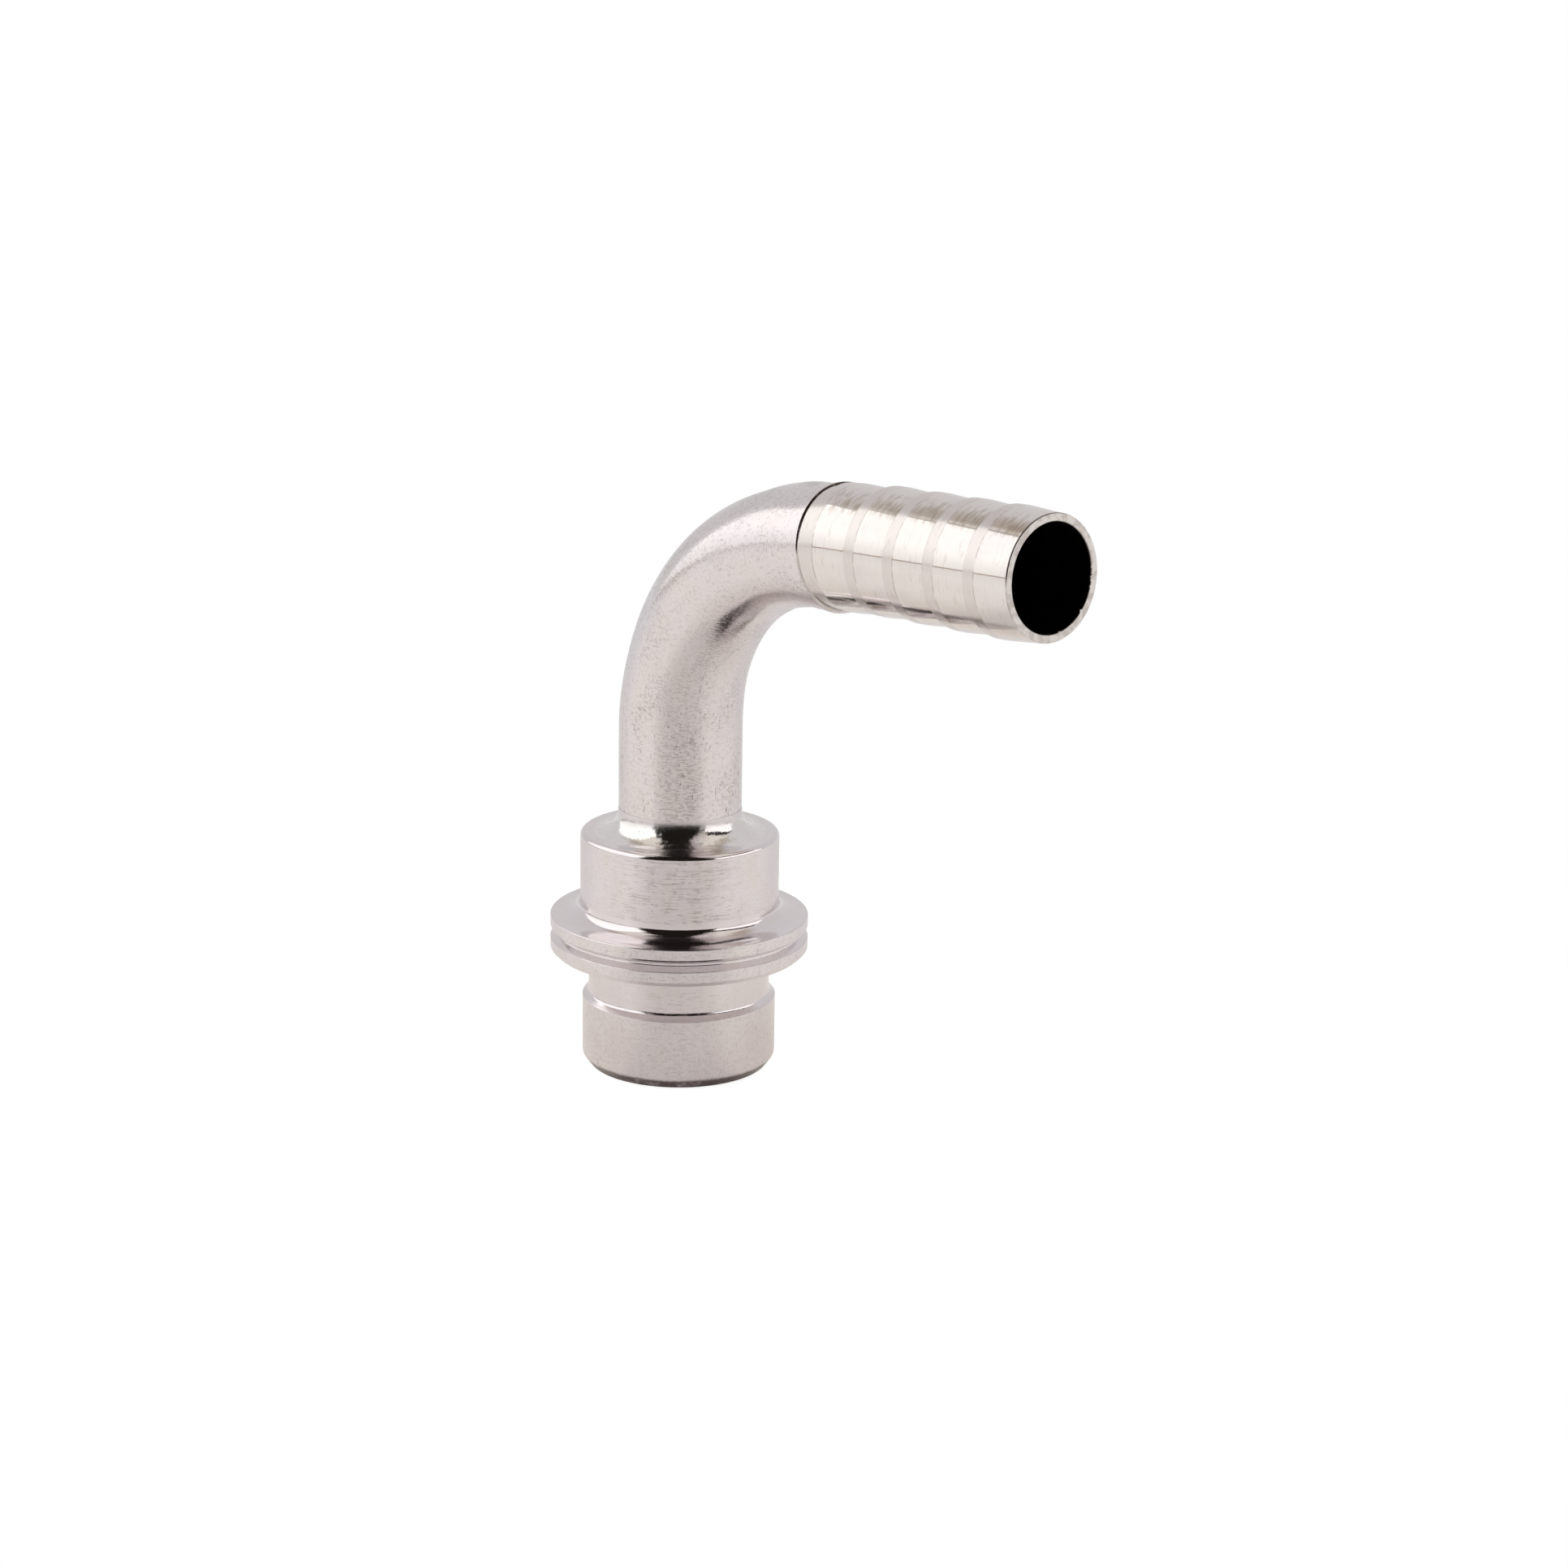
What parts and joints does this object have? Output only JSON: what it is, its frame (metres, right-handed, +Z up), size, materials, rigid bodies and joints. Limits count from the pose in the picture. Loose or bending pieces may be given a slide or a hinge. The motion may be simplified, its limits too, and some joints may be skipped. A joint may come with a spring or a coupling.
{
  "type": "bent hose barb",
  "caption": "Bent hose barb: a ribbed hose tail on a tube bent through a right angle, brazed into a plug-in spigot with a seal neck and a grooved flange.",
  "frame": {"origin": "centre of the spigot's end face, which the fitting stands on", "axes": "+Z up the spigot and the straight leg of the tube, +X the way the barb points, the whole symmetrical about the XZ plane"},
  "size_m": [0.0511, 0.021, 0.0515],
  "materials": {
    "turned_nickel": "turned brass, nickel plated, satin with fine lathe lines",
    "drawn_nickel": "drawn brass tube, nickel plated, dull satin on the bend and brighter on the turned barb",
    "braze_nickel": "smooth braze fillet, nickel plated, glossy"
  },
  "bodies": {
    "root": {"spigot": "turned_nickel", "barbed_tube": "drawn_nickel", "braze_fillet": "braze_nickel"}
  },
  "joints": []
}
